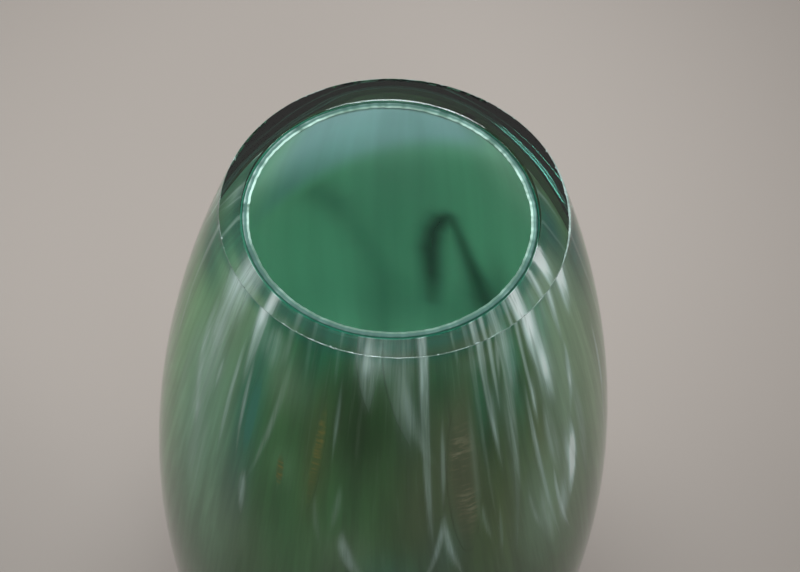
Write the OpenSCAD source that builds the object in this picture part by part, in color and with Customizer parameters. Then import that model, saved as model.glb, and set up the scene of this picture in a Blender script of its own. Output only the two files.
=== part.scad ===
// Cased art glass vase: a clear outer casing over a thin patterned colour layer and a pale jade lining.
// The axis of revolution is +Z and the origin is the middle of the flat that the vase stands on.
// Angles around the vase are in degrees, counted anticlockwise from -Y as seen from above.

/* [Body] */
// Overall height, from the flat of the foot to the cut rim
height = 220; // [210:1:240]
// Outer diameter of the cut rim
rim_d = 75; // [70:1:82]
// Greatest outer diameter
belly_d = 111; // [106:1:120]
// Height of the greatest diameter above the foot
belly_z = 115; // [106:1:124]

/* [Walls] */
// Thickness of the clear casing around the side
casing_t = 4.7; // [4.2:0.1:5.6]
// Thickness of the patterned colour layer
colour_t = 0.5; // [0.4:0.1:0.8]
// Thickness of the jade lining
lining_t = 0.8; // [0.6:0.1:1.2]
// Thickness of clear glass under the colour layer
base_t = 13; // [10:1:18]

/* [Rim and foot] */
// Width of the polished bevel on the outer edge of the rim
rim_bevel = 0.5; // [0.2:0.1:0.8]
// Radius of the heel, where the side turns into the foot
heel_r = 5; // [3:0.5:8]
// Radius of the corner at the bottom of the colour layer
cavity_corner_r = 16; // [10:1:20]
// Diameter of the ground and polished hollow in the foot
hollow_d = 34; // [20:1:40]
// Depth of that hollow at its middle
hollow_depth = 2.2; // [1:0.1:4]

/* [Pattern] */
// Number of points down each side of an inlaid ribbon
stations = 7; // [5:1:12]
// Widening of every silver ribbon, where 1 is as drawn
ribbon_scale = 1; // [0.7:0.05:1.1]

/* [Hidden] */
$fn = 240;
OVER = 1;            // how far a cutting shape passes a face that it cuts
CORNER_STEPS = 9;    // flats around a rounded corner in the profile
RUN_ON = 7;          // length of that corner's last flat, counted in flats
rim_r = rim_d / 2;
belly_r = belly_d / 2;
wall_t = casing_t + colour_t + lining_t;
reach = belly_r + 10;

// The side is one arc from the foot to the rim, with its centre level with the belly.
side_arc = arc_radius(height - belly_z, belly_r - rim_r);
function arc_radius(run, drop) = (run * run + drop * drop) / (2 * drop);

// Silver ribbons run down from the rim. Each row is
// [angle at the rim, angle at the lower end, width, height of the lower end].
RIBBONS = [
    [-84, -80, 1.4, 170],
    [-61, -60, 6.4, 192],
    [-46, -45, 3.0, 196],
    [-5.5, -4, 5.4, 200],
    [5, 8, 4.8, 194],
    [12.2, 14.6, 1.5, 160],
    [26.5, 33, 1.1, 160],
    [31.5, 35, 1.3, 180],
    [34.7, 36, 0.9, 197],
    [40.5, 38.5, 2.0, 150],
    [44, 43, 1.4, 198],
    [46.8, 49, 1.0, 186],
    [51.5, 56, 3.6, 190],
    [62.5, 65, 1.4, 200],
    [71.5, 70, 4.6, 203],
    [91, 95, 2.0, 170],
    [108, 104, 4.0, 192],
    [124, 121, 1.6, 150],
    [151, 155, 4.6, 186],
    [177, 178, 2.0, 158],
    [198, 201, 3.4, 194],
    [217, 213, 1.6, 148],
    [239, 241, 5.0, 186],
    [259, 255, 2.2, 166],
];
// The other inlays lie between two heights. Each row is
// [angle at the top, angle at the lower end, width, height of the top, height of the lower end].
WISPS = [
    [-66, -58, 1.8, 208, 170],
    [-54.5, -54.5, 0.8, 197, 187],
    [-48.5, -48.5, 1.1, 207, 172],
    [-43.3, -42, 0.8, 204, 176],
    [-38.5, -37.5, 1.8, 173, 158],
    [-13.5, -13.5, 0.7, 210, 188],
    [-9, -2, 3.0, 166, 148],
    [17.5, 17.2, 1.0, 200, 173],
    [45.8, 54, 1.0, 199, 140],
    [52.5, 58.5, 1.0, 168, 138],
    [65.5, 62, 1.4, 199, 178],
    [61.5, 58, 2.6, 176, 150],
    [84, 82, 1.4, 190, 150],
    [114, 112, 1.6, 176, 140],
    [193, 195, 1.2, 186, 150],
    [207, 206, 1.4, 190, 156],
    [244, 245, 1.2, 180, 140],
];
BRONZE = [
    [22.8, 24.5, 6.0, 203, 156],
    [-17.5, -19, 2.6, 204, 170],
    [-28, -27.5, 2.2, 185, 174],
    [136, 137, 6.0, 176, 128],
    [228, 228, 5.0, 182, 136],
];
TEAL = [
    [-39.5, -39.5, 2.8, 204, 176],
    [187, 188, 3.0, 200, 150],
    [250, 250, 2.8, 204, 158],
];
// Two pale legs part from one point to make a chevron.
CHEVRON = [
    [17.2, 12.5, 1.4, 171, 148],
    [17.6, 23, 1.6, 171, 148],
];
// The dark trail is a hook of two legs that share their top.
TRAIL = [
    [165.5, 169, 4.6, 168, 122],
    [164, 149, 4.6, 168, 124],
];
DRIFT = 1.8;         // ribbons leave the rim straight down and drift round more as they go

function numbered(name, i) = str(name, "_", i < 9 ? "0" : "", i + 1);
function mix(a, b, t) = a + (b - a) * t;

// Radius of the side at height z, for a surface that lies inset inside the outer one.
function wall_r(z, inset) = belly_r - side_arc + sqrt(pow(side_arc - inset, 2) - pow(z - belly_z, 2));

// Half profile of the solid of revolution that lies inset inside the outer surface.
// Its flat floor is at floor_z and joins the side through a corner that is tangent to both.
module cup_2d(inset, floor_z, corner_r, top_z) {
    corner_z = floor_z + corner_r;
    to_corner = side_arc - inset - corner_r;
    slope = asin((belly_z - corner_z) / to_corner);
    corner = [
        for (i = [0 : CORNER_STEPS])
        let (a = mix(-90, -slope, i / CORNER_STEPS))
        [belly_r - side_arc + to_corner * cos(slope) + corner_r * cos(a), corner_z + corner_r * sin(a)]
    ];
    // The last flat of the corner runs on past the side, so the two cross cleanly where they meet.
    side_end = mix(corner[CORNER_STEPS - 1], corner[CORNER_STEPS], RUN_ON);
    intersection() {
        translate([belly_r - side_arc, belly_z]) circle(side_arc - inset);
        polygon(concat(
            [[0, floor_z]],
            [for (i = [0 : CORNER_STEPS - 1]) corner[i]],
            [side_end, [reach, side_end[1]], [reach, top_z], [0, top_z]]
        ));
    }
}

// Cup profiles of the layer boundaries, from the outside in.
module outer_2d() cup_2d(0, 0, heel_r, height);
module colour_2d(top_z) cup_2d(casing_t, base_t, cavity_corner_r, top_z);
module lining_2d(top_z)
    cup_2d(casing_t + colour_t, base_t + colour_t, cavity_corner_r - colour_t, top_z);
module bore_2d(top_z)
    cup_2d(wall_t, base_t + colour_t + lining_t, cavity_corner_r - colour_t - lining_t, top_z);

// A thin shell that takes in the whole colour layer, before it is divided into its glasses.
module colour_shell() rotate_extrude() difference() {
    colour_2d(height);
    lining_2d(height + OVER);
}

// Half width of an inlay at t, which runs from 0 at the top to 1 at the bottom.
ribbon_form = function (t) 1 - t * t;
lens_form = function (t) sqrt(sin(180 * t));

// One point on the edge of an inlay, seen square on from outside at the angle facing.
function edge_point(angle, facing, z, offset) =
    [wall_r(z, casing_t) * sin(angle - facing) + offset, z];

// A wedge of the wall in the outline of an inlay, cut square to the surface at its middle.
// A ribbon is widest at its top; a lens comes to a point at both ends.
module inlay_prism(form, top_angle, low_angle, width, top_z, low_z) {
    facing = (top_angle + low_angle) / 2;
    side = function (sign, i)
        let (t = i / stations)
        edge_point(
            mix(top_angle, low_angle, pow(t, DRIFT)), facing,
            mix(top_z, low_z, t), sign * width / 2 * form(t)
        );
    rotate([0, 0, facing])
    translate([0, -rim_r / 2, 0])
    rotate([90, 0, 0])
    linear_extrude(height = reach - rim_r / 2)
    polygon(concat(
        [for (i = [0 : stations]) side(-1, i)],
        [for (i = [stations - 1 : -1 : form(0) > 0 ? 0 : 1]) side(1, i)]
    ));
}

module silver_prism(i)
    inlay_prism(
        ribbon_form, RIBBONS[i][0], RIBBONS[i][1], RIBBONS[i][2] * ribbon_scale,
        height + OVER, RIBBONS[i][3]
    );
module lens_prism(row) inlay_prism(lens_form, row[0], row[1], row[2], row[3], row[4]);
module leg_prisms(legs) for (row = legs) inlay_prism(ribbon_form, row[0], row[1], row[2], row[3], row[4]);

// Thick clear outer gather with the ground rim, the heel and the hollow in the foot.
module clear_casing() color([0.80, 0.88, 0.85, 0.35]) rotate_extrude() difference() {
    outer_2d();
    colour_2d(height + OVER);
    rim_bevel_2d();
    foot_hollow_2d();
}

// Corner of the rim that the polished bevel takes away.
module rim_bevel_2d() polygon([
    [rim_r - rim_bevel, height],
    [rim_r + OVER, height - rim_bevel - OVER],
    [rim_r + OVER, height + OVER],
    [rim_r - rim_bevel, height + OVER],
]);

// Slice of a ball that makes the shallow hollow in the foot.
module foot_hollow_2d() {
    ball_r = arc_radius(hollow_d / 2, hollow_depth);
    intersection() {
        translate([0, hollow_depth - ball_r]) circle(ball_r);
        translate([0, -OVER]) square([hollow_d, hollow_depth + 2 * OVER]);
    }
}

// Thin cup of opal jade glass that lines the inside and shows at the rim as a bright line.
module jade_lining() color([0.55, 0.85, 0.72]) rotate_extrude() difference() {
    lining_2d(height);
    bore_2d(height + OVER);
}

// Emerald ground of the colour layer: all of the layer that no inlay takes up.
module green_overlay() color([0.07, 0.30, 0.19]) difference() {
    colour_shell();
    for (i = [0 : len(RIBBONS) - 1]) silver_prism(i);
    for (row = concat(WISPS, BRONZE, TEAL)) lens_prism(row);
    leg_prisms(CHEVRON);
    leg_prisms(TRAIL);
}

// One pulled ribbon of silvery white glass, from the rim to its pointed lower end.
module silver_ribbon(i) color([0.68, 0.78, 0.77]) intersection() {
    colour_shell();
    silver_prism(i);
}

// One short pale wisp below the rim.
module pale_wisp(i) color([0.55, 0.68, 0.62]) intersection() {
    colour_shell();
    lens_prism(WISPS[i]);
}

// One patch of brushed bronze and gold leaf.
module bronze_patch(i) color([0.36, 0.33, 0.17]) intersection() {
    colour_shell();
    lens_prism(BRONZE[i]);
}

// One streak of blue-green glass.
module teal_streak(i) color([0.16, 0.42, 0.40]) intersection() {
    colour_shell();
    lens_prism(TEAL[i]);
}

// Pale upturned V below the long front ribbon.
module pale_chevron() color([0.45, 0.60, 0.58]) intersection() {
    colour_shell();
    leg_prisms(CHEVRON);
}

// Hooked trail of almost black glass on the side away from the front.
module dark_trail() color([0.03, 0.09, 0.06]) intersection() {
    colour_shell();
    leg_prisms(TRAIL);
}

clear_casing();
jade_lining();
green_overlay();
pale_chevron();
dark_trail();
for (i = [0 : len(RIBBONS) - 1])
    silver_ribbon(i);
for (i = [0 : len(WISPS) - 1])
    pale_wisp(i);
for (i = [0 : len(BRONZE) - 1])
    bronze_patch(i);
for (i = [0 : len(TEAL) - 1])
    teal_streak(i);
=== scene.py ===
"""Looks of a hand blown cased art glass vase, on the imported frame.

Lengths are in metres unless a name or comment says mm. Angles around the vase are in degrees,
counted anticlockwise from -Y as seen from above, so 0 faces the camera.
"""

import math
from typing import Callable, NamedTuple

import bpy
from mathutils import Matrix, Vector, noise


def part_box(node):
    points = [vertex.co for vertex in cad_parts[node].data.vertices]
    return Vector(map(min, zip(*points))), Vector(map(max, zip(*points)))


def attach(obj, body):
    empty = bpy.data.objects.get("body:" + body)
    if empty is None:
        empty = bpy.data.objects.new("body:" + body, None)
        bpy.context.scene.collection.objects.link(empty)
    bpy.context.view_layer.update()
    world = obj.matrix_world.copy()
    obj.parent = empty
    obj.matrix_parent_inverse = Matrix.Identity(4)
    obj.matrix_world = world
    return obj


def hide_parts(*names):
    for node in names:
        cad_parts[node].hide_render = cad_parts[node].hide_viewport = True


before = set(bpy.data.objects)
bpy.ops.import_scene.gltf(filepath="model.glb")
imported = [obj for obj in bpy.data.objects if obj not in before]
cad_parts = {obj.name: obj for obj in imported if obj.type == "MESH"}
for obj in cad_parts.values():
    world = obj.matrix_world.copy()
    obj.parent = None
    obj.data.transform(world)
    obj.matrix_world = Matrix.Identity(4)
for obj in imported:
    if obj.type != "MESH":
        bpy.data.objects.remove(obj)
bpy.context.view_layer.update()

# ---------------------------------------------------------------- sizes, from the frame where it has them
MM = 0.001
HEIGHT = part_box("clear_casing")[1][2]
BELLY_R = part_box("clear_casing")[1][0]
CASING_T = BELLY_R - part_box("green_overlay")[1][0]
COLOUR_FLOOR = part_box("green_overlay")[0][2]
LINING_INSET = BELLY_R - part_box("jade_lining")[1][0]
LINING_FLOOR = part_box("jade_lining")[0][2]
LINING_T = 0.8 * MM
RIM_R = 37.5 * MM
BELLY_Z = 115 * MM
HEEL_R = 5 * MM
CAVITY_CORNER_R = 16 * MM
HOLLOW_R = 17 * MM
HOLLOW_DEPTH = 2.2 * MM
SIDE_ARC = ((HEIGHT - BELLY_Z) ** 2 + (BELLY_R - RIM_R) ** 2) / (2 * (BELLY_R - RIM_R))

# The casing's inner face lies this far inside the colour layer, so light in the glass meets the
# colour directly, as it does where two glasses are fused.
SUNK = 0.15 * MM


def wall_r(z, inset):
    """Radius of the side at height z, for a surface inset inside the outer one."""
    return BELLY_R - SIDE_ARC + math.sqrt((SIDE_ARC - inset) ** 2 - (z - BELLY_Z) ** 2)


def mix(a, b, t):
    """The value that lies t of the way from a to b."""
    return a + (b - a) * t


def clamp(value):
    """The value, kept from 0 to 1."""
    return min(1.0, max(0.0, value))


def smooth(low, high, value):
    """0 at low, 1 at high, and a smooth step between; low may be the greater."""
    t = clamp((value - low) / (high - low))
    return t * t * (3 - 2 * t)


def turn_between(a, b):
    """Signed angle from b to a, the short way round."""
    return (a - b + 180) % 360 - 180


def near(angle, middle, full, end):
    """1 up to full degrees from the middle, 0 from end degrees on, and a smooth step between."""
    return smooth(end, full, abs(turn_between(angle, middle)))


# Points of a cup's profile on its flat floor.
FLOOR_STEPS = 8


def cup(inset, floor_z, corner_r, steps, corner_steps=16):
    """Half profile from the axis, over a flat floor and round a tangent corner, up to the rim."""
    corner_z = floor_z + corner_r
    to_corner = SIDE_ARC - inset - corner_r
    slope = math.asin((BELLY_Z - corner_z) / to_corner)
    corner_x = BELLY_R - SIDE_ARC + to_corner * math.cos(slope)
    points = [(corner_x * i / FLOOR_STEPS, floor_z) for i in range(FLOOR_STEPS)]
    for i in range(corner_steps + 1):
        a = mix(-math.pi / 2, -slope, i / corner_steps)
        points.append((corner_x + corner_r * math.cos(a), corner_z + corner_r * math.sin(a)))
    start = points[-1][1]
    for i in range(1, steps + 1):
        z = mix(start, HEIGHT, i / steps)
        points.append((wall_r(z, inset), z))
    return points


def rounded_end(points, radius, steps=5):
    """The profile with its last, topmost corner rounded over towards the axis."""
    r, z = points[-1]
    kept = [p for p in points if p[1] < z - radius]
    turns = [i / steps * math.pi / 2 for i in range(steps + 1)]
    return kept + [
        (r - radius * (1 - math.cos(a)), z - radius * (1 - math.sin(a))) for a in turns
    ]


# ---------------------------------------------------------------- the hand in the shape
# At the rim the bore lies off centre, and the clear wall is a little thicker than lower down.
BORE_SHIFT = Vector((-1.0 * MM, -1.1 * MM))
LIP_EXTRA = 0.6 * MM
# Both come in between these heights.
LIP_FROM = 50 * MM
LIP_FULL = 205 * MM
# Greatest unevenness of the outside, the height over which it changes, and the height above the foot
# where it is full.
RIPPLE = 0.10 * MM
RIPPLE_TALL = 45 * MM
RIPPLE_FULL = 30 * MM


def lip_share(z):
    """How much of the rim's shift and extra wall there is at a height: nothing low down."""
    return smooth(LIP_FROM, LIP_FULL, z)


def ripple(angle, z, size, seed=0.0, waves=1.6):
    """Slow unevenness of a surface that was turned and blown by hand."""
    a = math.radians(angle)
    where = Vector((math.cos(a) * waves, math.sin(a) * waves, z / RIPPLE_TALL + seed))
    return size * noise.noise(where)


def on_wall(angle, z, radius, shift=1.0):
    """The point of a layer at an angle around the axis and a height.

    shift is 0 for the outside and 1 for the inner layers, whose circles lie off the axis.
    """
    a = math.radians(angle)
    out = Vector((math.sin(a), -math.cos(a)))
    shift *= lip_share(z)
    centre = BORE_SHIFT * shift
    along = centre.dot(out)
    inside = max(0.0, radius - LIP_EXTRA * shift)
    reach = along + math.sqrt(max(0.0, inside**2 - centre.length_squared + along**2))
    return (out.x * reach, out.y * reach, z)


# ---------------------------------------------------------------- the pattern
# Colours of the glasses in the colour layer.
EMERALD = (0.006, 0.120, 0.056)
NIGHT = (0.010, 0.054, 0.010)
BOTTLE = (0.042, 0.106, 0.034)
MOSS = (0.054, 0.186, 0.062)
LEAF = (0.215, 0.435, 0.205)
SAGE = (0.290, 0.510, 0.340)
OLIVE = (0.088, 0.120, 0.036)
UMBER = (0.106, 0.122, 0.062)
TEAL = (0.026, 0.200, 0.128)
MIST = (0.250, 0.350, 0.245)
SLATE = (0.075, 0.150, 0.112)
FOG = (0.300, 0.385, 0.245)
RIM_TEAL = (0.010, 0.132, 0.082)
INK = (0.008, 0.100, 0.082)
SILVER = (0.480, 0.590, 0.540)
PEARL = (0.660, 0.780, 0.730)
# Painted highlight: the white that the thickest silver turns to, for its glints.
GLINT_WHITE = (0.960, 0.990, 0.970)

# Silver ribbons from the rim: angle at the rim, angle low down, width and lower end (mm), strength.
RIBBONS = [
    (-84, -80, 1.4, 170, 0.28),
    (-60, -60, 7.6, 192, 0.52),
    (-45.0, -45, 2.7, 196, 0.64),
    (-6.2, -4.5, 5.2, 203, 0.28),
    (3.5, 8, 6.4, 194, 0.16),
    (12.0, 14.6, 1.9, 160, 0.55),
    (28.4, 33, 1.1, 160, 0.12),
    (31.8, 35, 1.5, 180, 0.56),
    (35.4, 36, 1.1, 197, 0.56),
    (40.4, 38.5, 2.2, 150, 0.38),
    (44, 43, 1.2, 198, 0.12),
    (47.0, 49, 1.1, 186, 0.50),
    (52.0, 56, 4.4, 190, 0.78),
    (64.2, 65, 2.0, 200, 0.66),
    (74.2, 72, 5.2, 203, 1.00),
    (91, 95, 1.4, 170, 0.15),
    (108, 104, 3.0, 192, 0.35),
    (124, 121, 1.6, 150, 0.60),
    (151, 155, 4.6, 186, 0.85),
    (177, 178, 2.0, 158, 0.60),
    (198, 201, 3.4, 194, 0.80),
    (217, 213, 1.6, 148, 0.60),
    (239, 241, 5.0, 186, 0.85),
    (259, 255, 1.6, 166, 0.25),
]
# Pale wisps below the rim: angle at the top, angle low down, width, top, lower end (mm), strength.
WISPS = [
    (-66, -58, 1.8, 208, 170, 0.35),
    (-54.5, -54.5, 0.8, 197, 187, 0.40),
    (-48.5, -48.5, 1.1, 207, 172, 0.50),
    (-43.3, -42, 0.8, 204, 176, 0.40),
    (-38.5, -37.5, 1.8, 173, 158, 0.30),
    (-13.5, -13.5, 0.7, 210, 188, 0.20),
    (-9, -2, 3.0, 166, 148, 0.35),
    (17.5, 17.2, 1.0, 200, 173, 0.20),
    (45.8, 54, 1.1, 199, 140, 0.42),
    (52.5, 58.5, 1.0, 168, 138, 0.50),
    (65.5, 62, 1.4, 199, 178, 0.50),
    (61.5, 58, 2.8, 176, 150, 0.85),
    (84, 82, 1.4, 190, 150, 0.40),
    (114, 112, 1.6, 176, 140, 0.60),
    (193, 195, 1.2, 186, 150, 0.50),
    (207, 206, 1.4, 190, 156, 0.50),
    (244, 245, 1.2, 180, 140, 0.50),
]
CHEVRON = [
    (17.2, 12.5, 1.4, 171, 148, 0.35),
    (17.6, 23, 1.6, 171, 148, 0.35),
]
# Patches of leaf: angle at the top, angle low down, width, top, lower end (mm), whether it is gold.
LEAVES = [
    (22.8, 24.5, 7.6, 203, 156, False),
    (-17.5, -19, 2.6, 204, 170, True),
    (-28, -27.5, 2.2, 185, 174, True),
    (136, 137, 6.0, 176, 128, False),
    (228, 228, 5.0, 182, 136, False),
]
# Blue-green streaks, and the two legs of the dark trail: the same without a strength.
TEALS = [
    (-39.5, -39.5, 2.8, 204, 176),
    (187, 188, 3.0, 200, 150),
    (250, 250, 2.8, 204, 158),
]
TRAIL = [
    (165.5, 169, 4.6, 168, 122),
    (164, 149, 4.6, 168, 124),
]
# Where the ribbons start: just under the cut face of the rim.
RIM_TOP = HEIGHT / MM - 0.06
# Strokes leave their top straight down, and turn towards their lower angle more as they go.
DRIFT = 1.8

# Faint strokes that are only painted, in the same form as the wisps.
HAZES = [
    (-94, -99, 0.7, 222, 200, 0.50),
    (-31, -37, 1.2, 210, 172, 0.22),
    (-61, -60, 9.0, 208, 176, 0.30),
    (-57, -56, 6.0, 182, 146, 0.20),
    (-38, -38, 5.0, 216, 204, 0.18),
    (-70, -69, 4.0, 200, 160, 0.10),
    (6, 16, 2.4, 213, 186, 0.16),
    (-10.5, -12, 1.4, 181, 166, 0.12),
    (-17, -14.5, 1.2, 177, 160, 0.10),
    (26, 28, 1.2, 202, 160, 0.10),
    (28.5, 31, 1.0, 171, 157, 0.24),
    (33.5, 34.5, 1.0, 204, 186, 0.35),
    (23, 24, 0.5, 219, 212, 0.25),
    (-26, -25, 0.8, 219, 206, 0.14),
    (-33, -32.5, 1.4, 219, 208, 0.18),
    (-16, -15.5, 0.6, 219, 208, 0.14),
    (33.5, 34, 0.8, 168, 148, 0.20),
    (38.5, 38.5, 2.6, 205, 160, 0.14),
    (43, 48, 1.0, 168, 148, 0.22),
    (48, 52, 3.6, 166, 138, 0.20),
    (52, 55, 3.0, 190, 164, 0.30),
    (66, 67, 3.0, 186, 150, 0.22),
    (38.0, 37, 0.8, 218, 204, 0.30),
    (42.5, 42, 1.2, 218, 196, 0.15),
]
# Soft clouds in the colour layer: angle, height (mm), half angle, half height (mm), colour, strength.
# Each lies over the ones before it. The first follow the wall round from the left, then come the back,
# the low parts, and small ones that lie over all of these.
CLOUDS = [
    # Partly painted light: this cloud and the pale one at 78 degrees are lighter for two causes, paler
    # glass at the sides, and painted light for light that comes through the thick glass where the wall
    # turns away.
    (-78, 185, 20, 80, LEAF, 0.95),
    (-58, 166, 14, 44, SAGE, 0.90),
    (-60, 208, 9, 12, FOG, 0.40),
    (-46, 160, 6, 26, SAGE, 0.60),
    (-25, 165, 16, 36, MOSS, 0.95),
    (-34, 198, 9, 16, MOSS, 0.90),
    (-32, 205, 9, 7, SAGE, 0.35),
    (-22, 214, 13, 10, EMERALD, 0.97),
    (-41, 192, 5, 26, TEAL, 0.85),
    (-41, 162, 5, 16, SLATE, 0.70),
    (-27, 181, 4, 6, LEAF, 0.30),
    (-18, 186, 4, 20, OLIVE, 0.75),
    (-5, 197, 12, 14, NIGHT, 0.97),
    (-9, 170, 8, 14, MOSS, 0.45),
    (-8, 158, 8, 10, FOG, 0.22),
    (6, 170, 9, 22, BOTTLE, 0.60),
    (4, 152, 10, 8, TEAL, 0.45),
    (19, 212, 7, 8, EMERALD, 0.95),
    (2, 215, 9, 6, SLATE, 0.50),
    (9, 201, 4, 9, SLATE, 0.45),
    (23, 184, 8, 26, UMBER, 0.92),
    (18, 158, 5, 10, SLATE, 0.60),
    (36, 186, 7, 30, BOTTLE, 0.75),
    (31, 190, 2, 7, NIGHT, 0.80),
    (36, 162, 9, 22, OLIVE, 0.75),
    (43, 206, 3, 14, TEAL, 0.65),
    (44.5, 201, 2.4, 5, NIGHT, 0.60),
    (49, 180, 4, 14, OLIVE, 0.75),
    (11, 174, 6, 18, UMBER, 0.50),
    (48, 156, 10, 20, MIST, 0.65),
    (58, 212, 3.5, 9, TEAL, 0.80),
    (68.5, 216, 1.8, 8, INK, 0.85),
    (60, 160, 8, 24, FOG, 0.60),
    (62, 190, 8, 24, MIST, 0.70),
    # Partly painted light, as at the far left: lighter where light comes through the thick glass at the
    # side.
    (78, 185, 14, 70, FOG, 0.90),
    (104, 180, 14, 34, LEAF, 0.60),
    (118, 150, 14, 50, BOTTLE, 0.80),
    (138, 160, 10, 40, OLIVE, 0.70),
    (152, 200, 14, 26, TEAL, 0.60),
    (165, 140, 14, 40, NIGHT, 0.80),
    (186, 185, 12, 40, SAGE, 0.60),
    (208, 165, 12, 45, BOTTLE, 0.80),
    (228, 165, 10, 34, OLIVE, 0.70),
    (246, 185, 10, 40, TEAL, 0.60),
    (262, 150, 16, 50, LEAF, 0.70),
    (-95, 90, 40, 40, MOSS, 0.70),
    (0, 95, 40, 36, SAGE, 0.30),
    (60, 80, 40, 40, BOTTLE, 0.70),
    (150, 80, 50, 40, LEAF, 0.50),
    (230, 70, 40, 40, NIGHT, 0.60),
    (20, 40, 60, 24, NIGHT, 0.60),
    (93, 213, 15, 15, INK, 0.97),
    (-84, 214, 13, 9, TEAL, 0.65),
    (-101, 214, 5, 9, SAGE, 0.30),
    (-80, 209, 12, 6, RIM_TEAL, 0.75),
    (-42, 150, 12, 14, FOG, 0.25),
    (0, 146, 16, 12, UMBER, 0.25),
    (-31, 203, 7, 9, UMBER, 0.35),
    (-10, 207, 7, 6, NIGHT, 0.60),
    (-2, 200, 7, 7, NIGHT, 0.60),
    (17, 208, 5, 6, NIGHT, 0.60),
    (35.5, 200, 2.5, 8, SLATE, 0.50),
    (30, 202, 3, 12, EMERALD, 0.70),
    (232, 210, 26, 20, TEAL, 0.70),
]
# Bright pools on the silver, partly painted highlights for its glints: angle, height (mm), half angle,
# half height (mm), strength.
PAINTED_GLINTS = [
    (-59.5, 215, 6.4, 7, 0.40),
    (-45.2, 215, 2.2, 7, 0.50),
    (-60, 176, 2.2, 5, 0.40),
    (-5, 215, 4.0, 3, 0.35),
    (55, 199, 2.9, 8, 0.72),
    (52.2, 212, 2.6, 6, 0.70),
    (36, 212, 8, 2.5, 0.10),
    (60, 213, 2.5, 6, 0.15),
    (60, 167, 2.2, 8, 0.75),
    (56, 153, 1.8, 7, 0.60),
    (48.5, 194, 0.8, 5, 0.60),
    (64.5, 188, 1.2, 5, 0.55),
    (65.0, 213, 1.4, 5, 0.50),
    (73.6, 216, 3.5, 7, 0.98),
    (-98, 214, 4, 6, 0.28),
]

# Colours of the lining.
JADE = (0.435, 0.778, 0.600)
# Painted light: a pale blue for light and its reflection on the inner wall under the far rim.
PAINTED_LIGHT_BLUE = (0.500, 0.700, 0.770)
# Painted light: mint where light comes through the thin wall at the sides.
PAINTED_LIGHT_MINT = (0.620, 0.930, 0.760)
# Painted shade: a deeper jade down the far wall and low in the bore.
PAINTED_SHADE_JADE = (0.285, 0.580, 0.435)
SHADOW = (0.004, 0.020, 0.008)
# The lining's cut edge from the bore outwards: arris, face, and the line beside the colour layer.
# Each has a dull colour and a bright one, which is a painted highlight, and how strongly that painted
# highlight shows at the left and at the right side.
CUT_EDGE = [
    ((0.066, 0.120, 0.090), (0.290, 0.410, 0.350), 1.00, 0.80),
    ((0.034, 0.078, 0.062), (0.090, 0.165, 0.140), 0.30, 0.90),
    ((0.026, 0.062, 0.050), (0.200, 0.290, 0.255), 0.50, 0.00),
]
# Soft clouds of the lining, in the same form as those of the colour layer. The mint ones are painted
# light, for light that comes through the thin wall at the sides; the deeper jade and the shadow ones are
# painted shade down the far wall, low in the bore and beside the dark trail.
LINING_CLOUDS = [
    (182, 160, 26, 70, PAINTED_SHADE_JADE, 0.90),
    (178, 122, 60, 16, PAINTED_SHADE_JADE, 0.90),
    (228, 185, 14, 60, PAINTED_LIGHT_MINT, 0.70),
    (144, 142, 5, 14, SHADOW, 0.50),
    (158, 118, 22, 12, SHADOW, 0.25),
    (132, 190, 14, 50, PAINTED_LIGHT_MINT, 0.60),
]
# Dark trails that show through the lining: angle, height (mm), half width (mm), strength.
HOOK = [
    (167, 122, 2.8, 0.42),
    (167.3, 134, 3.2, 0.92),
    (168.3, 146, 3.6, 1.00),
    (167.4, 156, 3.3, 1.00),
    (165, 162.5, 3.4, 1.00),
    (162.5, 165, 2.8, 0.85),
    (159.5, 159, 2.2, 0.75),
    (156, 149, 2.8, 0.82),
    (152.5, 140, 4.0, 0.95),
    (149.5, 131, 5.8, 0.88),
    (146, 123, 6.4, 0.65),
]
SMEAR = [
    (214, 183, 3.5, 0.0),
    (207, 178, 4.5, 0.38),
    (200, 169, 4.5, 0.40),
    (194, 157, 3.5, 0.22),
    (187, 143, 3.5, 0.22),
    (182, 128, 4.5, 0.26),
    (182, 106, 5.0, 0.26),
]
# Painted light under the far rim: a pale blue patch that stands in for light falling in over the near rim,
# and its reflection. Its middle, the height of its lower edge there (mm), how that edge climbs (mm per
# degree) and how far it is blurred (mm), and the half angles between which the ends fade.
PAINTED_LIGHT_AT = 182
PAINTED_LIGHT_LOW = 197
PAINTED_LIGHT_CLIMB = 0.40
PAINTED_LIGHT_BLUR = (-7, 6)
PAINTED_LIGHT_ENDS = (30, 52)
PAINTED_LIGHT_LEAN = 4
# Where a highlight is painted on the cut edge: the middle of each painted highlight, how far from it
# (degrees) it is full, and where it ends. The far side gets the same weak painted highlight in all three
# parts.
PAINTED_HIGHLIGHT_LEFT = (-112, 20, 46)
PAINTED_HIGHLIGHT_RIGHT = (112, 24, 50)
PAINTED_HIGHLIGHT_FAR = (180, 30, 50)
FAR_HIGHLIGHT_STRENGTH = 0.12
# Beyond this many half widths from its middle a soft shape has faded out.
FADED = 3.0
# Further round than this (degrees), no stroke or trail reaches.
STROKE_REACH = 25
TRAIL_REACH = 30
# How far past its top and its lower end a stroke fades out, in lengths of the stroke.
STROKE_FROM = -0.1
STROKE_TO = 1.12


class Stroke(NamedTuple):
    """A stroke of silver: angles and heights (mm) of its ends, its width (mm) and its strength."""

    top: float
    low: float
    width: float
    top_z: float
    low_z: float
    strength: float


def stroke_place(stroke, angle, z):
    """How far down a stroke a place lies, from 0 to 1, and how far across it in mm."""
    t = (stroke.top_z - z / MM) / (stroke.top_z - stroke.low_z)
    middle = mix(stroke.top, stroke.low, clamp(t) ** DRIFT)
    across = math.radians(turn_between(angle, middle)) * wall_r(z, CASING_T) / MM
    return t, across


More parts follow.
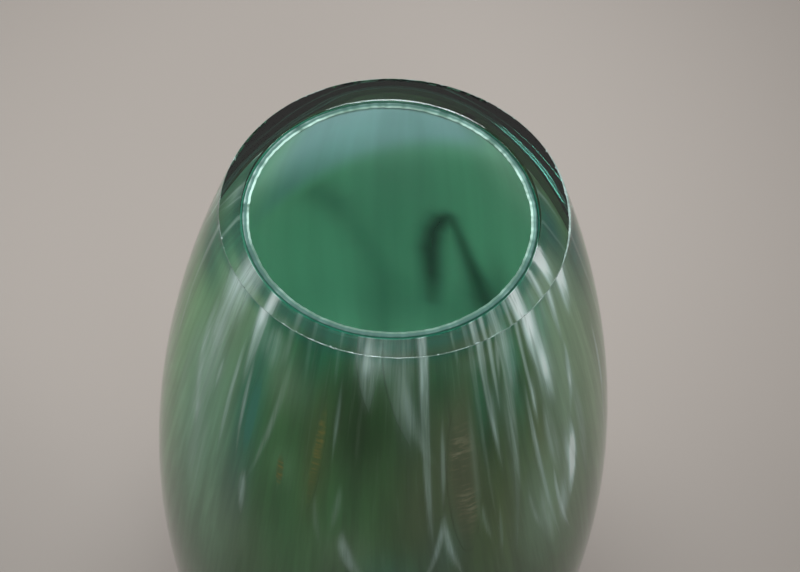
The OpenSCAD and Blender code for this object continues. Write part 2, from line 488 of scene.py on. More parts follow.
def silver_weight(stroke, angle, z):
    """Amount of silver that a stroke leaves around a place; strong strokes have crisper edges."""
    if abs(turn_between(angle, stroke.top)) > STROKE_REACH:
        return 0.0
    t, across = stroke_place(stroke, angle, z)
    if not STROKE_FROM <= t <= STROKE_TO:
        return 0.0
    from_rim = stroke.top_z > HEIGHT / MM - 1
    if from_rim:
        taper = mix(1.0, 0.5, clamp(t))
        ends = mix(1.0, 0.55, smooth(0.0, 0.40, t))
    else:
        taper = 0.4 + 0.6 * math.sin(math.pi * clamp(t))
        ends = smooth(STROKE_FROM, 0.30, t)
    ends *= 1 - smooth(0.55, STROKE_TO, t)
    spread = 0.48 * stroke.width * taper + 0.05
    crispness = 2 + 3 * stroke.strength
    return stroke.strength * ends * math.exp(-(abs(across / spread) ** crispness))


def cloud_weight(angle, z, at, height, half_angle, half_height):
    """Weight of a soft oval around a place: 1 in its middle, and 0 well outside."""
    across = turn_between(angle, at) / half_angle
    down = (z / MM - height) / half_height
    square = across * across + down * down
    return math.exp(-square) if square < FADED**2 else 0.0


def clouded(base, clouds, angle, z):
    """The base colour with soft clouds of other colours laid over it in turn."""
    colour = base
    for at, height, half_angle, half_height, tint, strength in clouds:
        weight = strength * cloud_weight(angle, z, at, height, half_angle, half_height)
        if weight:
            colour = tuple(mix(c, t, weight) for c, t in zip(colour, tint))
    return colour


SILVER_STROKES = [Stroke(top, low, width, RIM_TOP, low_z, s) for top, low, width, low_z, s in RIBBONS]
SILVER_STROKES += [Stroke(*row) for row in WISPS + CHEVRON + HAZES]


def veil(angle, z):
    """Amount of silver over the ground at a place on the colour layer, with the painted highlights of its
    glints.
    """
    bare = 1.0
    for stroke in SILVER_STROKES:
        bare *= 1 - silver_weight(stroke, angle, z)
    for at, height, half_angle, half_height, strength in PAINTED_GLINTS:
        bare *= 1 - strength * cloud_weight(angle, z, at, height, half_angle, half_height)
    return 1 - bare


def path_weight(path, angle, z):
    """Soft weight of a place beside a path of (angle, height, half width, strength)."""
    weight = 0.0
    for (a0, z0, w0, s0), (a1, z1, w1, s1) in zip(path, path[1:]):
        if abs(turn_between(angle, a0)) > TRAIL_REACH:
            continue
        round_mm = math.radians(1) * wall_r(z, LINING_INSET) / MM
        along = Vector(((a1 - a0) * round_mm, z1 - z0))
        place = Vector((turn_between(angle, a0) * round_mm, z / MM - z0))
        t = clamp(place.dot(along) / along.length_squared)
        distance = (place - along * t).length / mix(w0, w1, t)
        if distance < FADED:
            weight = max(weight, mix(s0, s1, t) * math.exp(-distance * distance))
    return weight


def painted_light_weight(angle, z):
    """Painted light and reflection below the rim, on the side away from the camera, as a pale patch on the
    lining.
    """
    across = turn_between(PAINTED_LIGHT_AT, angle)
    low = PAINTED_LIGHT_LOW + PAINTED_LIGHT_CLIMB * across
    ends = smooth(PAINTED_LIGHT_ENDS[1], PAINTED_LIGHT_ENDS[0], abs(across + PAINTED_LIGHT_LEAN))
    return smooth(low + PAINTED_LIGHT_BLUR[0], low + PAINTED_LIGHT_BLUR[1], z / MM) * ends


def cut_colour(angle, part):
    """Colour of one part of the lining's cut edge, with a painted highlight at the sides, here and there.
    """
    dull, bright, left, right = CUT_EDGE[part]
    highlight = max(
        left * near(angle, *PAINTED_HIGHLIGHT_LEFT),
        right * near(angle, *PAINTED_HIGHLIGHT_RIGHT),
        FAR_HIGHLIGHT_STRENGTH * near(angle, *PAINTED_HIGHLIGHT_FAR),
    )
    patchy = ripple(angle, 0, 1.0, 11.0, 9.0) + ripple(angle, 0, 0.8, 13.0, 28.0)
    highlight = clamp(highlight * (0.9 + patchy) + 0.05 + 0.3 * patchy)
    return tuple(mix(c, t, highlight) for c, t in zip(dull, bright))


def lining_colour(angle, z, part):
    """Jade with painted light and shade, the dark trails that show through it, and its cut edge with
    painted highlights.
    """
    if part:
        return cut_colour(angle, int(part) - 1)
    colour = clouded(JADE, LINING_CLOUDS, angle, z)
    for tint, weight in (
        (PAINTED_LIGHT_BLUE, painted_light_weight(angle, z)),
        (SHADOW, 0.97 * max(path_weight(HOOK, angle, z), path_weight(SMEAR, angle, z))),
    ):
        colour = tuple(mix(c, t, weight) for c, t in zip(colour, tint))
    return colour


# Streaks lean by up to this many degrees at this distance below the rim. They are laid out on a wall of
# one radius, and drawn out by making heights count for less.
STREAK_LEAN = 6.0
STREAK_FALL = 70 * MM
STREAK_R = 40 * MM
STREAK_DRAWN = 0.045


def drawn_place(angle, z):
    """Coordinates for streaks: round the wall at one radius, and drawn out tall and leaning."""
    fall = max(0.0, (HEIGHT - z) / STREAK_FALL) ** DRIFT
    a = math.radians(angle - STREAK_LEAN * fall * math.sin(math.radians(angle + 20)))
    return (STREAK_R * math.sin(a), -STREAK_R * math.cos(a), z * STREAK_DRAWN)


# Height of the teal band under the rim at the front and further round (mm), and its strength.
BAND_FRONT = 6
BAND_ROUND = 8
BAND_STRENGTH = 0.85
# Tone of the colour layer's cut edge over most of the rim, and around the left front.
TONE_DARK = 0.3
TONE_LEFT = 0.5


def cut_tone(angle):
    """Tone of the colour layer's cut edge, which is a darker line at the right than at the left."""
    return mix(TONE_DARK, TONE_LEFT, near(angle, -60, 60, 110))


def ground_colour(angle, z, edge):
    """Colour of the layer under its silver, with a teal band at the rim and a dark cut edge."""
    colour = clouded(BOTTLE, CLOUDS, angle, z)
    low = mix(BAND_FRONT, BAND_ROUND, smooth(55, 80, abs(turn_between(angle, 0)))) * MM
    band = BAND_STRENGTH * smooth(HEIGHT - low, HEIGHT - 0.4 * low, z)
    colour = tuple(mix(c, t, band) for c, t in zip(colour, RIM_TEAL))
    return tuple(c * mix(1.0, cut_tone(angle), edge) for c in colour)


def layer_facts(places):
    """Attributes that the colour layer's materials read, for a list of (angle, z, edge)."""
    return {
        "ground": ("FLOAT_COLOR", [(*ground_colour(*place), 1.0) for place in places]),
        "veil": ("FLOAT", [veil(a, z) * (1 - edge) for a, z, edge in places]),
        "drawn": ("FLOAT_VECTOR", [drawn_place(a, z) for a, z, _ in places]),
    }


def lining_facts(places):
    """Attributes that the lining's material reads, for a list of (angle, z, part of the cut edge)."""
    return {
        "ground": ("FLOAT_COLOR", [(*lining_colour(*place), 1.0) for place in places]),
        "drawn": ("FLOAT_VECTOR", [drawn_place(a, z) for a, z, _ in places]),
    }


# ---------------------------------------------------------------- meshes
def finish_mesh(name, points, faces, facts=None, smooth_shading=True):
    """A linked object from points and faces, with attributes from facts on its points."""
    mesh = bpy.data.meshes.new(name)
    mesh.from_pydata(points, [], faces)
    for key, (kind, values) in (facts or {}).items():
        layer = mesh.attributes.new(key, kind, "POINT")
        field = {"FLOAT": "value", "FLOAT_VECTOR": "vector", "FLOAT_COLOR": "color"}[kind]
        flat = values if kind == "FLOAT" else [v for value in values for v in value]
        layer.data.foreach_set(field, flat)
    mesh.polygons.foreach_set("use_smooth", [smooth_shading] * len(mesh.polygons))
    mesh.update()
    piece = bpy.data.objects.new(name, mesh)
    bpy.context.collection.objects.link(piece)
    return piece


def place_piece(piece, node, material):
    """Give a piece its material, and let it stand for its CAD node."""
    piece.data.materials.append(material)
    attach(piece, "root")
    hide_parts(node)


class Ring(NamedTuple):
    """One ring of a lathed piece; a ring of no radius is one point on the axis.

    edge is 0 on the sides. On a cut edge it is 1 in the colour layer, and the part's number in the lining.
    """

    radius: float
    z: float
    shift: float = 1.0
    uneven: Callable = lambda angle, z: 0.0
    edge: float = 0.0


def lathe(name, rings, segments, facts_for=None):
    """A closed solid of revolution with a list of rings for its profile."""
    points, faces, places, starts = [], [], [], []
    for ring in rings:
        starts.append(len(points))
        for k in range(1 if ring.radius < 1e-6 else segments):
            angle = 360 * k / segments
            radius = ring.radius + ring.uneven(angle, ring.z)
            points.append(on_wall(angle, ring.z, radius, ring.shift))
            places.append((angle, ring.z, ring.edge))
    sizes = [b - a for a, b in zip(starts, starts[1:] + [len(points)])]
    for i in range(len(rings) - 1):
        a, b = starts[i], starts[i + 1]
        for k in range(segments):
            n = (k + 1) % segments
            if sizes[i] == 1:
                faces.append((a, b + n, b + k))
            elif sizes[i + 1] == 1:
                faces.append((a + k, a + n, b))
            else:
                faces.append((a + k, a + n, b + n, b + k))
    return finish_mesh(name, points, faces, facts_for(places) if facts_for else None)


def plain_rings(profile, shift=1.0):
    """Even, unpainted rings from the points of a profile."""
    return [Ring(r, z, shift) for r, z in profile]


def blown(angle, z):
    """Unevenness of the casing's outside, which fades out towards the foot."""
    return ripple(angle, z, RIPPLE * smooth(0, RIPPLE_FULL, z))


BEVEL = 0.12 * MM
HOLLOW_STEPS = 12
RIM_STEPS = 8
# Two rings this far apart set off a change of paint, or of unevenness, between two surfaces.
SEAM = 0.02 * MM


def casing_rings():
    """The clear casing: foot hollow, heel, side and rim outside, then the inside back to the axis."""
    ball = (HOLLOW_R**2 + HOLLOW_DEPTH**2) / (2 * HOLLOW_DEPTH)
    hollow = []
    for i in range(HOLLOW_STEPS + 1):
        r = HOLLOW_R * i / HOLLOW_STEPS
        hollow.append((r, HOLLOW_DEPTH - ball + math.sqrt(ball * ball - r * r)))
    side = rounded_end(cup(0, 0, HEEL_R, steps=100)[FLOOR_STEPS:], BEVEL)
    outer_edge = side[-1][0]
    inner_edge = wall_r(HEIGHT, CASING_T + SUNK)
    inside = cup(CASING_T + SUNK, COLOUR_FLOOR + SUNK, CAVITY_CORNER_R - SUNK, steps=60)
    rings = plain_rings(hollow, 0.0)
    rings += [Ring(r, z, 0.0, blown) for r, z in side]
    rings.append(Ring(outer_edge - SEAM, HEIGHT, 0.0))
    for i in range(1, RIM_STEPS):
        share = i / RIM_STEPS
        rings.append(Ring(mix(outer_edge, inner_edge, share), HEIGHT, share))
    rings += plain_rings(reversed(inside))
    return rings


def arris_width(angle):
    """Width of the ground arris around the rim: a hairline with chips, and broad at one side."""
    hair = 0.015 * MM + max(0.0, ripple(angle, HEIGHT, 0.20 * MM, seed=5.0, waves=9.0))
    chips = max(0.0, ripple(angle, HEIGHT, 1.0 * MM, seed=9.0, waves=60.0) - 0.32 * MM)
    return hair + chips + 0.40 * MM * near(angle, 96, 8, 30)


def arris_rings():
    """The ground arris on the outer edge of the rim: a thin dull ring that covers the corner."""
    def out(share, lift=0.0):
        return lambda angle, z: blown(angle, z) + lift - share * arris_width(angle)

    top = HEIGHT + 0.015 * MM
    rings = [Ring(RIM_R, top, 0.0, out(1.0)), Ring(RIM_R, top, 0.0, out(0.1))]
    rings.append(Ring(RIM_R, HEIGHT - 0.03 * MM, 0.0, out(0.0, 0.02 * MM)))
    rings.append(Ring(RIM_R, HEIGHT - 0.08 * MM, 0.0, out(0.0, 0.03 * MM)))
    rings.append(Ring(RIM_R, HEIGHT - 0.06 * MM, 0.0, out(1.0)))
    return rings + rings[:1]


# The cut edges of the inner layers stand this much above the casing's rim, so no two share a plane.
PROUD = 0.02 * MM


def overlay_rings():
    """The colour layer, a thin cup whose cut edge stands level with the rim."""
    gap = 0.05 * MM
    outer = cup(CASING_T + gap, COLOUR_FLOOR + gap, CAVITY_CORNER_R - gap, steps=130)
    inner = cup(LINING_INSET, LINING_FLOOR, CAVITY_CORNER_R - (LINING_INSET - CASING_T), steps=20)
    rings = plain_rings(outer[:-1])
    rings.append(Ring(outer[-1][0], HEIGHT + PROUD))
    rings.append(Ring(outer[-1][0] - SEAM, HEIGHT + PROUD, edge=1.0))
    rings.append(Ring(inner[-1][0], HEIGHT + PROUD, edge=1.0))
    return rings + plain_rings(reversed(inner[:-1]))


# How far from the bore the lining's arris and cut face end, the rounding of its inner edge, and how
# much thicker it gets over the last part below the rim.
ARRIS_W = 0.50 * MM
CUT_FACE_W = 1.05 * MM
LIP_ROUND = 0.10 * MM
BEAD = 0.5 * MM
BEAD_TALL = 22 * MM


def bead(z):
    """How much thicker the lining is in the last part below the rim."""
    return BEAD * smooth(HEIGHT - BEAD_TALL, HEIGHT, z)


def chipped(angle, z):
    """Small irregular chips along the inner edge of the rim."""
    fine = ripple(angle, z, 0.16 * MM, seed=3.0, waves=26.0)
    broad = ripple(angle, z, 0.10 * MM, seed=7.0, waves=6.0)
    return max(-0.05 * MM, min(0.09 * MM, fine)) + broad


def lining_rings():
    """The jade lining: outside, cut edge, and the glossy inside of the bore."""
    overlap = 0.1 * MM
    outer_inset = LINING_INSET - overlap
    outer_corner = CAVITY_CORNER_R - (outer_inset - CASING_T)
    outer = cup(outer_inset, LINING_FLOOR - overlap, outer_corner, steps=20)
    bore_inset = LINING_INSET + LINING_T
    bore_corner = CAVITY_CORNER_R - (bore_inset - CASING_T)
    inner = cup(bore_inset, LINING_FLOOR + LINING_T, bore_corner, steps=130)
    rings = plain_rings(outer[:-1])
    rings.append(Ring(outer[-1][0], HEIGHT + PROUD, edge=3.0))
    rings.append(Ring(outer[-1][0] - SEAM, HEIGHT + PROUD, edge=3.0))
    gap = 0.03 * MM
    r_in = inner[-1][0] - BEAD
    for width, inside, outside in ((CUT_FACE_W, 2.0, 3.0), (ARRIS_W, 1.0, 2.0)):
        rings.append(Ring(r_in + width + gap, HEIGHT + PROUD, 1.0, chipped, outside))
        rings.append(Ring(r_in + width, HEIGHT + PROUD, 1.0, chipped, inside))
    for i in range(4):
        a = i / 3 * math.pi / 2
        r = r_in + LIP_ROUND * (1 - math.sin(a))
        z = HEIGHT + PROUD - LIP_ROUND * (1 - math.cos(a))
        rings.append(Ring(r, z, 1.0, chipped, 1.0))
    below = [p for p in reversed(inner) if p[1] < HEIGHT - 3 * LIP_ROUND]
    rings += plain_rings([(max(0.0, r - bead(z)), z) for r, z in below])
    return rings


def ribbon_half(t):
    """Share of a ribbon's width at t of the way down: full at the top, and a point below."""
    return 1 - t * t


def lens_half(t):
    """Share of a wisp's or patch's width at t of the way down: a point at both ends."""
    return math.sqrt(max(0.0, math.sin(math.pi * t)))


INLAY_DEPTH = 0.35 * MM
# How far an inlay's front sinks in at its long edges, and the least half width of its points (mm).
EDGE_SINK = 0.035 * MM
POINT_HALF = 0.03


def inlay(name, spec, half, rows=56, columns=12):
    """One inlaid strip with a front that is level with the colour layer's outside."""
    top_angle, low_angle, width, top_z, low_z = spec
    points, faces, places, across, along = [], [], [], [], []
    for side in (0, 1):
        for i in range(rows + 1):
            t = i / rows
            z = mix(top_z, low_z, t) * MM
            radius = wall_r(min(z, HEIGHT), CASING_T + INLAY_DEPTH * side)
            half_width = max(half(t) * width / 2, POINT_HALF) * MM
            middle = mix(top_angle, low_angle, t**DRIFT)
            for j in range(columns + 1):
                u = mix(-1, 1, j / columns)
                angle = middle + math.degrees(u * half_width / radius)
                sink = 0.0 if side else EDGE_SINK * abs(u) ** 3
                points.append(on_wall(angle, z, radius - sink))
                places.append((angle, z, 0.0))
                across.append(u)
                along.append(t)
    wide = columns + 1
    back = (rows + 1) * wide
    for i in range(rows):
        for j in range(columns):
            a = i * wide + j
            faces.append((a, a + wide, a + wide + 1, a + 1))
            faces.append((back + a, back + a + 1, back + a + wide + 1, back + a + wide))
        a, b = i * wide, i * wide + columns
        faces.append((a, back + a, back + a + wide, a + wide))
        faces.append((b, b + wide, back + b + wide, back + b))
    for j in range(columns):
        a, b = j, rows * wide + j
        faces.append((a, a + 1, back + a + 1, back + a))
        faces.append((b, back + b, back + b + 1, b + 1))
    facts = layer_facts(places)
    facts["across"] = ("FLOAT", across)
    facts["along"] = ("FLOAT", along)
    return finish_mesh(name, points, faces, facts)


# ---------------------------------------------------------------- materials
BRONZE = (0.088, 0.104, 0.050)
BRONZE_FLECKS = (0.310, 0.262, 0.165)
GOLD = (0.085, 0.130, 0.032)
GOLD_FLECKS = (0.290, 0.205, 0.040)
STREAK_BLUE = (0.040, 0.215, 0.155)
TRAIL_DARK = (0.005, 0.018, 0.010)
ARRIS_DULL = (0.090, 0.130, 0.110)
ARRIS_LIGHT = (0.210, 0.260, 0.235)
# What the clear glass lets through, and how strongly it holds back the rest (per metre).
GLASS_TINT = (0.54, 0.77, 0.71, 1.0)
GLASS_DENSITY = 20.0
# The paper of the floor: at a distance around the vase, with a painted pool of light just behind it, and
# painted lighter far away where less light falls.
PAPER = (0.172, 0.147, 0.130)
PAPER_PAINTED_POOL = (0.292, 0.252, 0.225)
PAPER_PAINTED_FAR = (0.340, 0.310, 0.285)
PAINTED_POOL_PLACE = (-0.03, 0.20, 0.0)


class Shader:
    """A material whose nodes are added and joined by short calls."""

    def __init__(self, name):
        self.material = bpy.data.materials.new(name)
        self.material.use_nodes = True
        self.tree = self.material.node_tree
        self.skin = self.tree.nodes["Principled BSDF"]
        self.out = self.tree.nodes["Material Output"]

    def set(self, **values):
        """Set or join the skin's own sockets, named with _ for a space."""
        for name, value in values.items():
            self.feed(self.skin.inputs[name.replace("_", " ")], value)

    def add(self, kind, settings=None, **inputs):
        """A new node, with its settings and its inputs set or joined."""
        node = self.tree.nodes.new(kind)
        for key, value in (settings or {}).items():
            setattr(node, key, value)
        for name, value in inputs.items():
            self.feed(node.inputs[name.replace("_", " ")], value)
        return node

    def feed(self, socket, value):
        """Join a socket to another node's output, or set its value."""
        if isinstance(value, bpy.types.NodeSocket):
            self.tree.links.new(value, socket)
        else:
            socket.default_value = value

    def attribute(self, name, output):
        node = self.add("ShaderNodeAttribute", {"attribute_name": name})
        return node.outputs[output]

    def maths(self, operation, a, b=0.0, clamped=False):
        """The result of one operation on a and b."""
        node = self.add("ShaderNodeMath", {"operation": operation, "use_clamp": clamped})
        self.feed(node.inputs[0], a)
        self.feed(node.inputs[1], b)
        return node.outputs[0]

    def step(self, value, low, high, to_low=0.0, to_high=1.0):
        """to_low at low, to_high at high, and a smooth step between."""
        node = self.add("ShaderNodeMapRange", {"interpolation_type": "SMOOTHSTEP"})
        names = ("Value", "From Min", "From Max", "To Min", "To Max")
        for name, part in zip(names, (value, low, high, to_low, to_high)):
            self.feed(node.inputs[name], part)
        return node.outputs["Result"]

    def noise(self, vector, scale, detail=3.0, rough=0.5, stretch=(1, 1, 1)):
        """Cloudy noise, which is finer along the axes where stretch is more than 1."""
        moved = self.add("ShaderNodeMapping", Vector=vector, Scale=stretch).outputs[0]
        node = self.add("ShaderNodeTexNoise", Vector=moved, Scale=scale, Detail=detail, Roughness=rough)
        return node.outputs["Fac"]

    def blend(self, factor, a, b):
        """The colour that lies a factor of the way from a to b."""
        node = self.add("ShaderNodeMix", {"data_type": "RGBA"})
        factor_in, a_in, b_in = 0, 6, 7
        for index, value in ((factor_in, factor), (a_in, a), (b_in, b)):
            if isinstance(value, tuple):
                value = (*value[:3], 1.0)
            self.feed(node.inputs[index], value)
        return node.outputs[2]

    def scaled(self, colour, factor):
        """The colour made lighter or darker by a factor."""
        node = self.add("ShaderNodeVectorMath", {"operation": "SCALE"}, Scale=factor)
        self.feed(node.inputs[0], colour)
        return node.outputs[0]

    def bump(self, height, strength, distance):
        """Give the skin fine relief from a height."""
        node = self.add("ShaderNodeBump", Height=height, Strength=strength, Distance=distance)
        self.tree.links.new(node.outputs["Normal"], self.skin.inputs["Normal"])


class LayerShader(Shader):
    """Colour layer material: the painted ground, drawn out into fine streaks, under its silver, which
    turns white as a painted highlight where it is thickest.
    """

    def __init__(self, name, silver=0.0):
        super().__init__(name)
        self.drawn = self.attribute("drawn", "Vector")
        broad = self.noise(self.drawn, 170.0, 3.0, 0.55)
        fine = self.noise(self.drawn, 620.0, 4.0, 0.6)
        ground = self.attribute("ground", "Color")
        colour = self.scaled(ground, self.step(broad, 0.30, 0.70, 0.88, 1.14))
        colour = self.scaled(colour, self.step(fine, 0.32, 0.68, 0.90, 1.12))
        hair = self.step(self.noise(self.drawn, 900.0, 3.0, 0.6), 0.55, 0.75, 0.0, 0.08)
        colour = self.blend(hair, colour, MIST)
        streaks = self.step(self.noise(self.drawn, 760.0, 4.0, 0.6), 0.36, 0.62, 0.40, 1.15)
        amount = self.maths("ADD", self.attribute("veil", "Fac"), silver)
        thick = self.maths("ADD", streaks, self.maths("MULTIPLY", amount, 0.5))
        cover = self.maths("MULTIPLY", amount, thick, clamped=True)
        tone = self.step(self.noise(self.drawn, 420.0, 3.0, 0.5), 0.35, 0.65)
        pale = self.blend(tone, SILVER, PEARL)
        # Where the silver is thickest it turns white: a painted highlight.
        pale = self.blend(self.step(amount, 0.62, 0.95), pale, GLINT_WHITE)
        self.colour = self.blend(cover, colour, pale)
        self.set(Base_Color=self.colour, Roughness=0.45, Specular_IOR_Level=0.08)

    def inside(self, width):
        """1 in the middle of an inlay and 0 at its edges."""
        across = self.maths("ABSOLUTE", self.attribute("across", "Fac"))
        along = self.maths("ABSOLUTE", self.maths("SUBTRACT", self.attribute("along", "Fac"), 0.5))
        side = self.step(across, 1.0, 1.0 - width)
        ends = self.step(along, 0.5, 0.5 - 0.5 * width)
        return self.maths("MULTIPLY", side, ends)


def overlay_material():
    return LayerShader("streaked_emerald").material


def silver_material():
    return LayerShader("drawn_silver", 0.04).material


def wisp_material():
    return LayerShader("pale_veil", 0.02).material


def leaf_material(name, base, flecks):
    """Leaf that the gather stretched: a soft stain with fine flecks that lie across the piece."""
    shader = LayerShader(name)
    brushed = shader.noise(shader.drawn, 240.0, 5.0, 0.7, (1.0, 1.0, 75.0))
    patches = shader.noise(shader.drawn, 130.0, 2.0, 0.5, (1.0, 1.0, 10.0))
    inside = shader.inside(0.7)
    leaf = shader.maths("MULTIPLY", shader.step(brushed, 0.44, 0.64), shader.step(patches, 0.30, 0.60))
    leaf = shader.maths("MULTIPLY", leaf, inside)
    colour = shader.blend(shader.maths("MULTIPLY", inside, 0.7), shader.colour, base)
    colour = shader.blend(shader.maths("MULTIPLY", leaf, 0.7), colour, flecks)
    shader.set(Base_Color=colour, Metallic=shader.maths("MULTIPLY", leaf, 0.25))
    shader.bump(brushed, 0.4, 0.0004)
    return shader.material


def teal_material():
    shader = LayerShader("teal_streaks")
    blue = shader.step(shader.noise(shader.drawn, 500.0, 3.0, 0.55), 0.35, 0.65, 0.2, 0.8)
    cover = shader.maths("MULTIPLY", blue, shader.inside(0.6))
    shader.set(Base_Color=shader.blend(cover, shader.colour, STREAK_BLUE))
    return shader.material


def trail_material():
    shader = LayerShader("dark_trail_glass")
    cover = shader.maths("MULTIPLY", shader.inside(0.5), 0.95)
    shader.set(Base_Color=shader.blend(cover, shader.colour, TRAIL_DARK))
    return shader.material


def lining_material():
    shader = Shader("jade_opal")
    drawn = shader.attribute("drawn", "Vector")
    cloud = shader.noise(drawn, 60.0, 3.0, 0.5)
    streak = shader.noise(drawn, 260.0, 2.0, 0.5)
    ground = shader.attribute("ground", "Color")
    colour = shader.scaled(ground, shader.step(cloud, 0.3, 0.7, 0.90, 1.08))
    colour = shader.scaled(colour, shader.step(streak, 0.3, 0.7, 0.97, 1.02))
    shader.set(Base_Color=colour, Roughness=0.25, Specular_IOR_Level=0.28)
    return shader.material


def casing_material():
    shader = Shader("clear_blown_glass")
    shader.set(Base_Color=(1.0, 1.0, 1.0, 1.0), IOR=1.5, Transmission_Weight=1.0)
    shader.set(Roughness=0.0)
    absorb = shader.add("ShaderNodeVolumeAbsorption", Color=GLASS_TINT, Density=GLASS_DENSITY)
    shader.tree.links.new(absorb.outputs[0], shader.out.inputs["Volume"])
    place = shader.add("ShaderNodeTexCoord").outputs["Object"]
    shader.bump(shader.noise(place, 22.0, 1.0, 0.4), 0.15, 0.002)
    return shader.material


def arris_material():
    shader = Shader("ground_arris")
    place = shader.add("ShaderNodeTexCoord").outputs["Object"]
    grit = shader.step(shader.noise(place, 900.0, 3.0, 0.6), 0.35, 0.65)
    shader.set(Base_Color=shader.blend(grit, ARRIS_DULL, ARRIS_LIGHT))
    shader.set(Roughness=0.5, IOR=1.5)
    shader.bump(grit, 0.5, 0.0001)
    return shader.material


def floor_material():
    """Plain paper with a painted pool of light just behind the vase, and painted lighter again far away
    where less light falls.
    """
    shader = Shader("pale_floor")
    place = shader.add("ShaderNodeTexCoord").outputs["Object"]
    away = shader.add("ShaderNodeVectorMath", {"operation": "DISTANCE"})
    shader.feed(away.inputs[0], place)
    shader.feed(away.inputs[1], PAINTED_POOL_PLACE)
    tone = shader.step(away.outputs["Value"], 0.30, 0.06)
    uneven = shader.step(shader.noise(place, 1.6, 2.0, 0.5), 0.3, 0.7, -0.03, 0.03)
    tone = shader.maths("ADD", tone, uneven)
    paper = shader.blend(tone, PAPER, PAPER_PAINTED_POOL)
    far = shader.step(away.outputs["Value"], 0.40, 1.20)
    shader.set(Base_Color=shader.blend(far, paper, PAPER_PAINTED_FAR))
    shader.set(Roughness=0.9, Specular_IOR_Level=0.1)
    return shader.material


# ---------------------------------------------------------------- the pieces
def make_cups():
    """The clear casing with its arris, the colour layer and the lining."""
    casing = lathe("blown_casing", casing_rings(), 288)
    place_piece(casing, "clear_casing", casing_material())
    arris = lathe("ground_arris", arris_rings(), 720)
    place_piece(arris, "clear_casing", arris_material())
    overlay = lathe("streaked_overlay", overlay_rings(), 720, layer_facts)
    place_piece(overlay, "green_overlay", overlay_material())
    lining = lathe("opal_lining", lining_rings(), 480, lining_facts)
    place_piece(lining, "jade_lining", lining_material())


def make_inlays():
    """The strips and patches of other glasses that lie in the front of the colour layer."""
    silver, wisp, teal, dark = silver_material(), wisp_material(), teal_material(), trail_material()
    bronze = leaf_material("brushed_bronze", BRONZE, BRONZE_FLECKS)
    gold = leaf_material("gold_leaf", GOLD, GOLD_FLECKS)
    for i, (top, low, width, low_z, _) in enumerate(RIBBONS, 1):
        piece = inlay(f"drawn_ribbon_{i:02d}", (top, low, width, RIM_TOP, low_z), ribbon_half)
        place_piece(piece, f"silver_ribbon_{i:02d}", silver)
    for i, row in enumerate(WISPS, 1):
        piece = inlay(f"drawn_wisp_{i:02d}", row[:5], lens_half)
        place_piece(piece, f"pale_wisp_{i:02d}", wisp)
    for i, row in enumerate(LEAVES, 1):
        piece = inlay(f"leaf_patch_{i:02d}", row[:5], lens_half)
        place_piece(piece, f"bronze_patch_{i:02d}", gold if row[5] else bronze)
    for i, row in enumerate(TEALS, 1):
        piece = inlay(f"blue_streak_{i:02d}", row, lens_half)
        place_piece(piece, f"teal_streak_{i:02d}", teal)
    for i, row in enumerate(CHEVRON, 1):
        piece = inlay(f"chevron_leg_{i:02d}", row[:5], ribbon_half)
        place_piece(piece, "pale_chevron", wisp)
    for i, row in enumerate(TRAIL, 1):
        piece = inlay(f"trail_leg_{i:02d}", row, ribbon_half)
        place_piece(piece, "dark_trail", dark)


def make_floor():
    half = 3.0
    corners = [(-half, -half, 0), (half, -half, 0), (half, half, 0), (-half, half, 0)]
    floor = finish_mesh("studio_floor", corners, [(0, 1, 2, 3)], smooth_shading=False)
    floor.data.materials.append(floor_material())


# ---------------------------------------------------------------- light and camera
def area_light(name, place, target, size, power, colour):
    """A round softbox that is aimed at a target, with its diameter in metres and its power in watts."""
    data = bpy.data.lights.new(name, "AREA")
    data.shape = "DISK"
    data.size = size
    data.energy = power
    data.color = colour
    light = bpy.data.objects.new(name, data)
    light.location = place
    light.rotation_euler = (Vector(target) - Vector(place)).to_track_quat("-Z", "Y").to_euler()
    bpy.context.collection.objects.link(light)


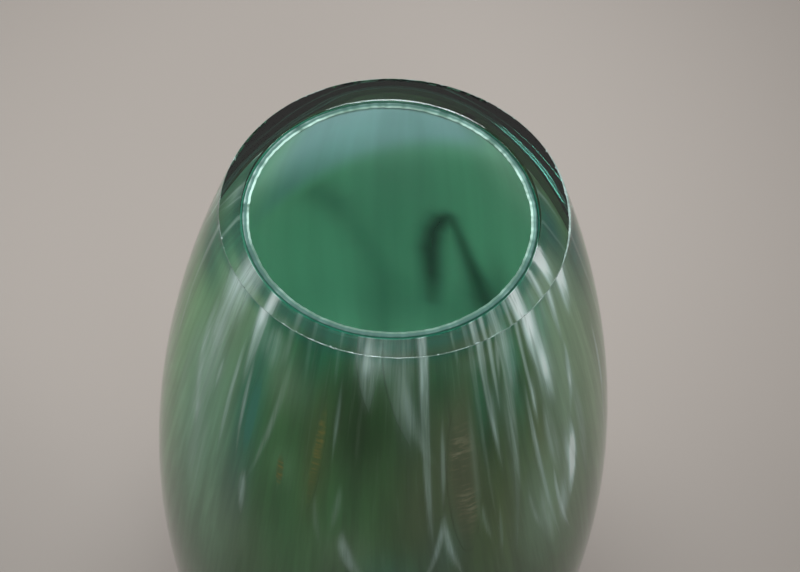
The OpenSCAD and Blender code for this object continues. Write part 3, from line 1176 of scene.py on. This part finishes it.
def light_scene():
    """An even pale room, with one softbox overhead and smaller ones around the vase."""
    world = bpy.data.worlds.new("soft_room")
    bpy.context.scene.world = world
    world.use_nodes = True
    sky = world.node_tree.nodes["Background"]
    sky.inputs["Color"].default_value = (1.0, 0.985, 0.96, 1.0)
    sky.inputs["Strength"].default_value = 0.38
    area_light("overhead_softbox", (-0.03, 0.02, 1.05), (0, 0.02, 0), 0.55, 15.0, (0.86, 0.95, 1.0))
    area_light("front_softbox", (0.26, -0.80, 0.52), (0, 0, 0.2), 0.26, 2.3, (0.82, 0.93, 1.0))
    area_light("right_softbox", (0.75, -0.10, 0.55), (0, 0, 0.2), 0.30, 1.15, (1.0, 0.94, 0.90))
    area_light("left_softbox", (-0.75, -0.10, 0.55), (0, 0, 0.2), 0.30, 0.70, (1.0, 0.94, 0.90))
    area_light("back_softbox", (0, 0.68, 1.08), (0, 0, 0.22), 0.60, 0.22, (1.0, 0.98, 0.95))
    bpy.context.scene.view_settings.view_transform = "Standard"


# The camera looks at the middle of the rim from this angle above the horizon and this far away. It is
# then rolled, and turned down and to the side, by the following angles. The lens is in mm.
CAMERA_ELEVATION = 52.3
CAMERA_DISTANCE = 0.45
CAMERA_ROLL = 3.26
LENS = 95.0
AIM_DOWN = 2.02
AIM_LEFT = -0.13


def make_camera():
    """Looks down on the rim, tipped a little down and rolled, so the rim sits high in the frame."""
    data = bpy.data.cameras.new("camera")
    data.lens = LENS
    data.sensor_width = 36
    data.clip_start = 0.02
    data.clip_end = 50
    e = math.radians(CAMERA_ELEVATION)
    forward = Vector((0, math.cos(e), -math.sin(e)))
    right = Vector((1, 0, 0))
    up = right.cross(forward)
    place = Vector((0, 0, HEIGHT)) - forward * CAMERA_DISTANCE
    roll = Matrix.Rotation(math.radians(-CAMERA_ROLL), 3, forward)
    right, up = roll @ right, roll @ up
    down = Matrix.Rotation(math.radians(-AIM_DOWN), 3, right)
    forward, up = down @ forward, down @ up
    turn = Matrix.Rotation(math.radians(AIM_LEFT), 3, up)
    forward, right = turn @ forward, turn @ right
    camera = bpy.data.objects.new("camera", data)
    turned = Matrix((right, up, -forward)).transposed().to_4x4()
    camera.matrix_world = Matrix.Translation(place) @ turned
    bpy.context.collection.objects.link(camera)
    bpy.context.scene.camera = camera


make_cups()
make_inlays()
make_floor()
light_scene()
make_camera()
